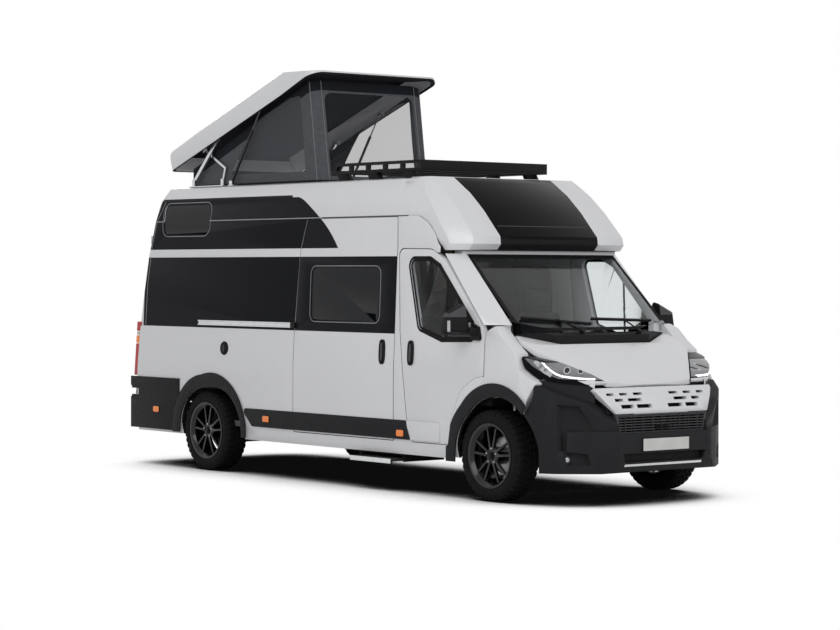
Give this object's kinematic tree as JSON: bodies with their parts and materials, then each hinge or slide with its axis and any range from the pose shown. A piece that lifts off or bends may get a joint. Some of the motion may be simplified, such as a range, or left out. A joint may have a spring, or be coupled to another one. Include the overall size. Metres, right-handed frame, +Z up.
{
  "type": "camper van",
  "caption": "Long high-roof panel van fitted out as a camper, with a tilting pop-up roof and tent, roof rack, hinged doors and hood, slide-out step, steered front wheels and rolling wheels.",
  "frame": {"origin": "on the ground under the middle of the van's bounding box", "axes": "+X forward, +Y to the vehicle's left, +Z up"},
  "size_m": [6.363, 2.492, 3.6477],
  "materials": {
    "paint_white": "cool white body paint, glossy",
    "cladding_grey": "grained dark grey plastic",
    "gloss_black": "gloss black trim",
    "black_plastic": "black textured plastic",
    "window_glass": "tinted glass",
    "screen_glass": "clear laminated glass",
    "lamp_lens": "clear headlamp lens over chrome",
    "red_lens": "red lamp lens",
    "tyre_rubber": "black tyre rubber",
    "rim_black": "gloss black wheel paint",
    "chassis_steel": "black chassis paint",
    "bare_steel": "machined and zinc plated steel",
    "engine_grey": "engine grey",
    "inner_grey": "cab lining grey",
    "seat_cloth": "dark grey seat cloth",
    "cabinet_wood": "light wood furniture board",
    "floor_vinyl": "floor covering",
    "step_metal": "anodised aluminium",
    "silver_arm": "clear anodised aluminium",
    "strut_black": "black gas strut tube",
    "tent_cloth": "anthracite tent cloth"
  },
  "bodies": {
    "body": {"cab_frame": "paint_white", "cabinets": "cabinet_wood", "chassis_frame": "chassis_steel", "cladding": "cladding_grey", "dashboard": "inner_grey", "engine_block": "engine_grey", "fenders": "paint_white", "floor_pan": "floor_vinyl", "front_bumper": "cladding_grey", "front_panel": "paint_white", "grille": "gloss_black", "headlamps": "lamp_lens", "lift_brackets": "silver_arm", "nose_panel": "gloss_black", "rear_axle": "chassis_steel", "rear_bumper": "cladding_grey", "roof_rack": "black_plastic", "roof_shell": "paint_white", "scuttle_panel": "black_plastic", "seats": "seat_cloth", "side_wall_left": "paint_white", "side_wall_right": "paint_white", "side_windows": "window_glass", "sliding_door": "paint_white", "steering_wheel": "black_plastic", "tail_lamps": "red_lens", "tent": "tent_cloth", "windscreen": "screen_glass"},
    "hood": {"hood": "paint_white"},
    "door_right": {"door_right": "paint_white", "door_glass_right": "window_glass", "mirror_right": "gloss_black"},
    "door_left": {"door_left": "paint_white", "door_glass_left": "window_glass", "mirror_left": "gloss_black"},
    "rear_door_right": {"rear_door_right": "paint_white", "rear_glass_right": "window_glass"},
    "rear_door_left": {"rear_door_left": "paint_white", "rear_glass_left": "window_glass"},
    "knuckle_right": {"knuckle_right": "bare_steel"},
    "knuckle_left": {"knuckle_left": "bare_steel"},
    "wheel_front_right": {"tyre_front_right": "tyre_rubber", "rim_front_right": "rim_black"},
    "wheel_front_left": {"tyre_front_left": "tyre_rubber", "rim_front_left": "rim_black"},
    "wheel_rear_right": {"tyre_rear_right": "tyre_rubber", "rim_rear_right": "rim_black"},
    "wheel_rear_left": {"tyre_rear_left": "tyre_rubber", "rim_rear_left": "rim_black"},
    "entry_step": {"entry_step": "step_metal"},
    "lift_arms": {"lift_arms": "silver_arm"},
    "roof_lid": {"roof_lid": "paint_white"},
    "crank_arms": {"crank_arms": "silver_arm"},
    "strut_tubes": {"strut_tubes": "strut_black"},
    "strut_rods": {"strut_rods": "bare_steel"}
  },
  "joints": [
    {"name": "hood_hinge", "type": "hinge", "parent": "body", "child": "hood", "pos_m": [2.325, 0, 1.312], "axis": [0, -1, 0], "range_deg": [0, 60]},
    {"name": "door_right_hinge", "type": "hinge", "parent": "body", "child": "door_right", "pos_m": [2.129, -1.016, 1], "axis": [0, 0.045, 0.999], "range_deg": [0, 70]},
    {"name": "door_left_hinge", "type": "hinge", "parent": "body", "child": "door_left", "pos_m": [2.129, 1.016, 1], "axis": [0, 0.045, -0.999], "range_deg": [0, 70]},
    {"name": "rear_door_right_hinge", "type": "hinge", "parent": "body", "child": "rear_door_right", "pos_m": [-3.026, -1, 0.7], "axis": [0.1269, 0.0347, 0.9913], "range_deg": [0, 180]},
    {"name": "rear_door_left_hinge", "type": "hinge", "parent": "body", "child": "rear_door_left", "pos_m": [-3.026, 1, 0.7], "axis": [-0.1269, 0.0347, -0.9913], "range_deg": [0, 180]},
    {"name": "steer_left", "type": "hinge", "parent": "body", "child": "knuckle_left", "pos_m": [2.1965, 0.782, 0.3685], "axis": [0, 0, 1], "range_deg": [-35, 35]},
    {"name": "steer_right", "type": "hinge", "parent": "body", "child": "knuckle_right", "pos_m": [2.1965, -0.782, 0.3685], "axis": [0, 0, 1], "range_deg": [-35, 35]},
    {"name": "wheel_front_right_spin", "type": "hinge", "parent": "knuckle_right", "child": "wheel_front_right", "pos_m": [2.1965, -0.895, 0.3685], "axis": [0, 1, 0], "continuous": true},
    {"name": "wheel_front_left_spin", "type": "hinge", "parent": "knuckle_left", "child": "wheel_front_left", "pos_m": [2.1965, 0.895, 0.3685], "axis": [0, 1, 0], "continuous": true},
    {"name": "wheel_rear_right_spin", "type": "hinge", "parent": "body", "child": "wheel_rear_right", "pos_m": [-1.8385, -0.895, 0.3685], "axis": [0, 1, 0], "continuous": true},
    {"name": "wheel_rear_left_spin", "type": "hinge", "parent": "body", "child": "wheel_rear_left", "pos_m": [-1.8385, 0.895, 0.3685], "axis": [0, 1, 0], "continuous": true},
    {"name": "step_slide", "type": "slide", "parent": "body", "child": "entry_step", "axis": [0, -1, 0], "range_m": [0, 0.25]},
    {"name": "roof_lift", "type": "hinge", "parent": "body", "child": "lift_arms", "pos_m": [-2.495, 0, 2.7], "axis": [0, 1, 0], "range_deg": [0, 47.77], "deforming": ["tent"]},
    {"name": "lid_hinge", "type": "hinge", "parent": "lift_arms", "child": "roof_lid", "pos_m": [-2.11528, 0, 3.07972], "axis": [0, 1, 0], "range_deg": [-28.39, 0]},
    {"name": "crank_hinge", "type": "hinge", "parent": "body", "child": "crank_arms", "pos_m": [-2.0735, 0, 2.7], "axis": [0, 1, 0], "range_deg": [-42.05, 0]},
    {"name": "strut_tube_hinge", "type": "hinge", "parent": "body", "child": "strut_tubes", "pos_m": [-1.8735, 0, 2.675], "axis": [0, 1, 0], "range_deg": [0, 54.58]},
    {"name": "strut_rod_slide", "type": "slide", "parent": "strut_tubes", "child": "strut_rods", "axis": [0.5711, 0, 0.8209], "range_m": [-0.14337, 0]}
  ],
  "couplings": [
    {"joint": "steer_right", "follows": "steer_left", "ratio": 1},
    {"joint": "lid_hinge", "follows": "roof_lift", "ratio": -0.59393},
    {"joint": "crank_hinge", "follows": "roof_lift", "ratio": -0.88},
    {"joint": "strut_tube_hinge", "follows": "roof_lift", "ratio": 1.1421},
    {"joint": "strut_rod_slide", "follows": "roof_lift", "m_per_rad": -0.1717}
  ]
}
